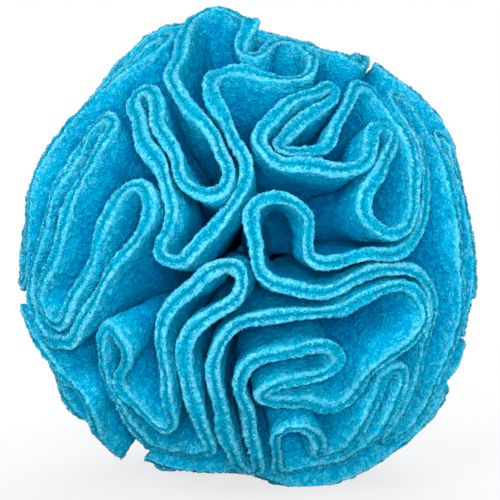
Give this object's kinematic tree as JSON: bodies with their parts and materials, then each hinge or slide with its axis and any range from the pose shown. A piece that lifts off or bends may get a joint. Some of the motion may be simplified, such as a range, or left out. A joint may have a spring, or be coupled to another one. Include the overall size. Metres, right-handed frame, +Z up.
{
  "type": "dog snuffle ball",
  "caption": "Dog snuffle ball: rounds of plush fleece gathered at the middle and tied into one ball, whose ruffled cut edges make pockets for hiding treats.",
  "frame": {"origin": "on the surface the ball rests on, under the middle of its bounding box", "axes": "+Z up, the ball's face towards -Y, +X to the right as seen from the front"},
  "size_m": [0.148, 0.152, 0.1464],
  "materials": {
    "fleece": "double-faced plush fleece with a short napped pile, bright blue, cut raw at the edges"
  },
  "bodies": {
    "root": {"front_crest": "fleece", "back_crest": "fleece", "front_left_wing": "fleece", "back_left_wing": "fleece", "front_left_scroll": "fleece", "back_left_scroll": "fleece", "front_lower_scroll": "fleece", "back_lower_scroll": "fleece", "front_lower_loop": "fleece", "back_lower_loop": "fleece", "front_ring": "fleece", "back_ring": "fleece", "front_right_scroll": "fleece", "back_right_scroll": "fleece", "left_edge": "fleece", "left_foot": "fleece", "right_foot": "fleece", "right_edge": "fleece", "top_edge": "fleece"}
  },
  "joints": []
}
